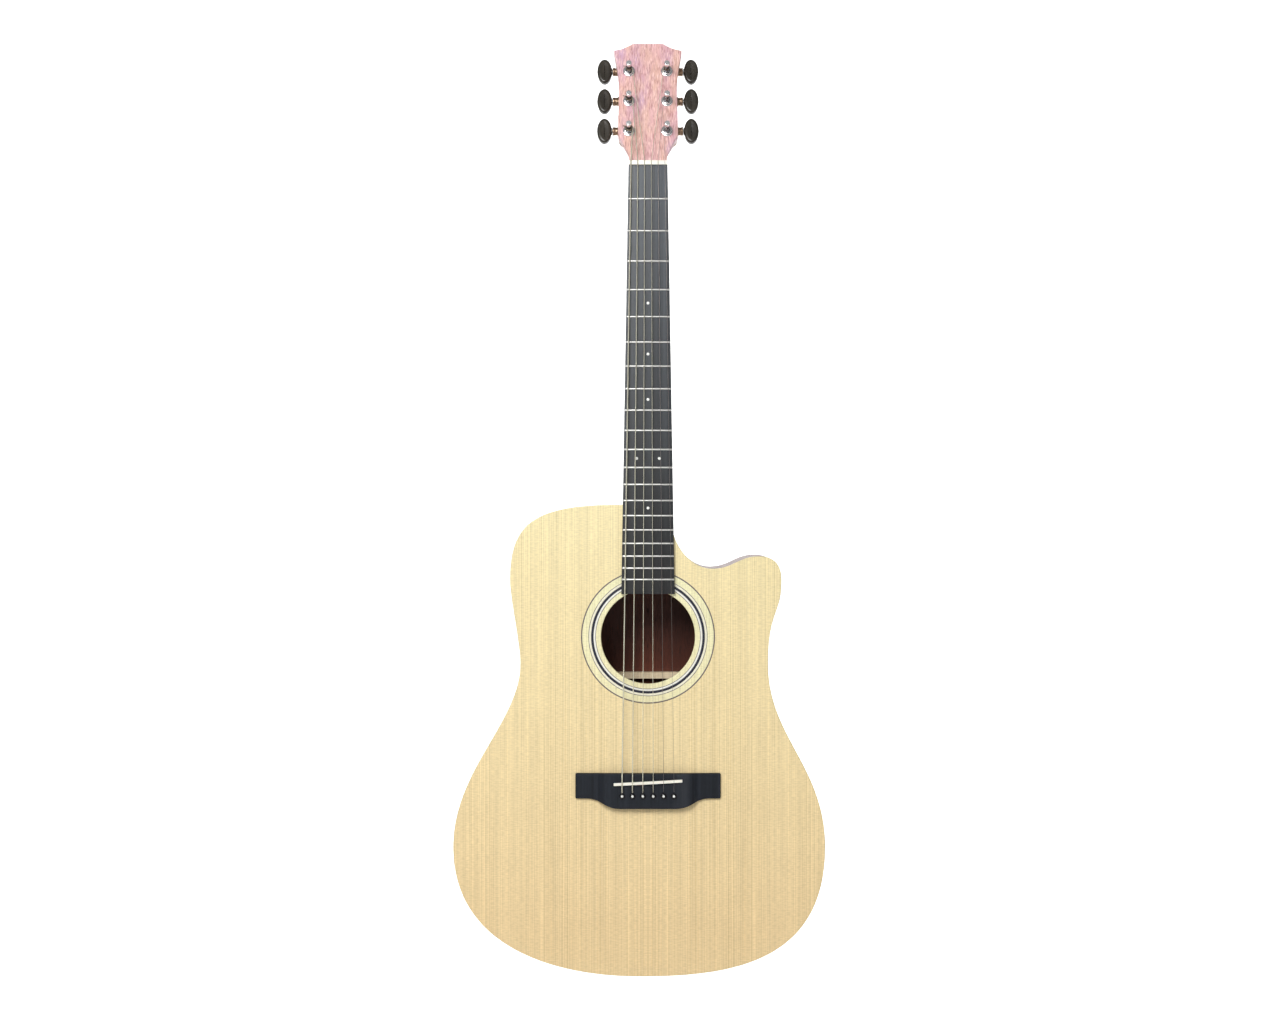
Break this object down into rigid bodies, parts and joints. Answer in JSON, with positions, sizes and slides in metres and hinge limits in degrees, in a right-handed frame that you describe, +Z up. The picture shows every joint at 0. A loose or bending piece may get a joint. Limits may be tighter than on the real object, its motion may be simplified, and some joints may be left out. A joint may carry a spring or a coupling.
{
  "type": "acoustic guitar",
  "caption": "Steel-string acoustic guitar with a single cutaway, a pale spruce soundboard, a dark fretboard and geared tuning machines whose keys turn the string posts.",
  "frame": {"origin": "centre of the end pin's head at the tail, on the neck's centre line and halfway through the body's depth", "axes": "+Z runs up the neck to the headstock, -Y is the way the soundboard faces, +X is the treble (cutaway) side"},
  "size_m": [0.3963, 0.1333, 1.0108],
  "materials": {
    "spruce_top": "satin, straight fine grain",
    "mahogany": "satin, ribbon grain",
    "block_wood": "raw",
    "lining_wood": "raw",
    "brace_spruce": "raw",
    "maple": "raw",
    "ebony_bridge": "matte",
    "bone": "polished bone",
    "pin_black": "polished",
    "pearl": "pearl",
    "brass": "plain",
    "inlay_black": "flush inlay",
    "inlay_white": "flush inlay",
    "fretboard_wood": "oiled, streaked",
    "fret_wire": "polished",
    "neck_wood": "satin",
    "headstock_wood": "satin",
    "heel_cap_wood": "satin",
    "steel": "plain",
    "bronze_metal": "antique bronze",
    "chrome": "mirror",
    "button_dark": "dark ebony-like",
    "wound_string": "bronze winding",
    "plain_string": "plain steel"
  },
  "bodies": {
    "guitar": {"soundboard": "spruce_top", "back_plate": "mahogany", "side_bass": "mahogany", "side_treble": "mahogany", "neck_block": "block_wood", "tail_block": "block_wood", "lining_top": "lining_wood", "lining_back": "lining_wood", "x_braces": "brace_spruce", "tone_bars": "brace_spruce", "upper_brace": "brace_spruce", "bridge_plate": "maple", "back_braces": "brace_spruce", "back_strip": "mahogany", "bridge": "ebony_bridge", "saddle": "bone", "bridge_pins": "pin_black", "pin_dots": "pearl", "ball_ends": "brass", "rosette_dark": "inlay_black", "rosette_white": "inlay_white", "fretboard": "fretboard_wood", "frets": "fret_wire", "fret_markers": "pearl", "nut": "bone", "neck_shaft": "neck_wood", "headstock": "headstock_wood", "neck_heel": "neck_wood", "heel_cap": "heel_cap_wood", "truss_rod": "steel", "end_pin": "pin_black", "tuner_housings": "bronze_metal", "tuner_covers": "bronze_metal", "tuner_bushings": "chrome", "tuner_washers": "chrome", "tuner_screws": "bronze_metal", "string_low_e": "wound_string", "string_a": "wound_string", "string_d": "wound_string", "string_g": "wound_string", "string_b": "plain_string", "string_high_e": "plain_string"},
    "key_low_e": {"button_low_e": "button_dark", "worm_low_e": "steel"},
    "peg_low_e": {"post_low_e": "chrome"},
    "key_a": {"button_a": "button_dark", "worm_a": "steel"},
    "peg_a": {"post_a": "chrome"},
    "key_d": {"button_d": "button_dark", "worm_d": "steel"},
    "peg_d": {"post_d": "chrome"},
    "key_g": {"button_g": "button_dark", "worm_g": "steel"},
    "peg_g": {"post_g": "chrome"},
    "key_b": {"button_b": "button_dark", "worm_b": "steel"},
    "peg_b": {"post_b": "chrome"},
    "key_high_e": {"button_high_e": "button_dark", "worm_high_e": "steel"},
    "peg_high_e": {"post_high_e": "chrome"}
  },
  "joints": [
    {"name": "key_low_e_turn", "type": "hinge", "parent": "guitar", "child": "key_low_e", "pos_m": [-0.0203, -0.03009, 0.91255], "axis": [-1, 0, 0], "continuous": true},
    {"name": "peg_low_e_turn", "type": "hinge", "parent": "guitar", "child": "peg_low_e", "pos_m": [-0.0203, -0.05199, 0.90961], "axis": [0, -0.9659, 0.2588], "continuous": true},
    {"name": "key_a_turn", "type": "hinge", "parent": "guitar", "child": "key_a", "pos_m": [-0.0203, -0.02108, 0.94616], "axis": [-1, 0, 0], "continuous": true},
    {"name": "peg_a_turn", "type": "hinge", "parent": "guitar", "child": "peg_a", "pos_m": [-0.0203, -0.04299, 0.94323], "axis": [0, -0.9659, 0.2588], "continuous": true},
    {"name": "key_d_turn", "type": "hinge", "parent": "guitar", "child": "key_d", "pos_m": [-0.0203, -0.01207, 0.97977], "axis": [-1, 0, 0], "continuous": true},
    {"name": "peg_d_turn", "type": "hinge", "parent": "guitar", "child": "peg_d", "pos_m": [-0.0203, -0.03398, 0.97684], "axis": [0, -0.9659, 0.2588], "continuous": true},
    {"name": "key_g_turn", "type": "hinge", "parent": "guitar", "child": "key_g", "pos_m": [0.0203, -0.01207, 0.97977], "axis": [1, 0, 0], "continuous": true},
    {"name": "peg_g_turn", "type": "hinge", "parent": "guitar", "child": "peg_g", "pos_m": [0.0203, -0.03398, 0.97684], "axis": [0, -0.9659, 0.2588], "continuous": true},
    {"name": "key_b_turn", "type": "hinge", "parent": "guitar", "child": "key_b", "pos_m": [0.0203, -0.02108, 0.94616], "axis": [1, 0, 0], "continuous": true},
    {"name": "peg_b_turn", "type": "hinge", "parent": "guitar", "child": "peg_b", "pos_m": [0.0203, -0.04299, 0.94323], "axis": [0, -0.9659, 0.2588], "continuous": true},
    {"name": "key_high_e_turn", "type": "hinge", "parent": "guitar", "child": "key_high_e", "pos_m": [0.0203, -0.03009, 0.91255], "axis": [1, 0, 0], "continuous": true},
    {"name": "peg_high_e_turn", "type": "hinge", "parent": "guitar", "child": "peg_high_e", "pos_m": [0.0203, -0.05199, 0.90961], "axis": [0, -0.9659, 0.2588], "continuous": true}
  ],
  "couplings": [
    {"joint": "peg_low_e_turn", "follows": "key_low_e_turn", "ratio": 0.071429},
    {"joint": "peg_a_turn", "follows": "key_a_turn", "ratio": 0.071429},
    {"joint": "peg_d_turn", "follows": "key_d_turn", "ratio": 0.071429},
    {"joint": "peg_g_turn", "follows": "key_g_turn", "ratio": 0.071429},
    {"joint": "peg_b_turn", "follows": "key_b_turn", "ratio": 0.071429},
    {"joint": "peg_high_e_turn", "follows": "key_high_e_turn", "ratio": 0.071429}
  ]
}
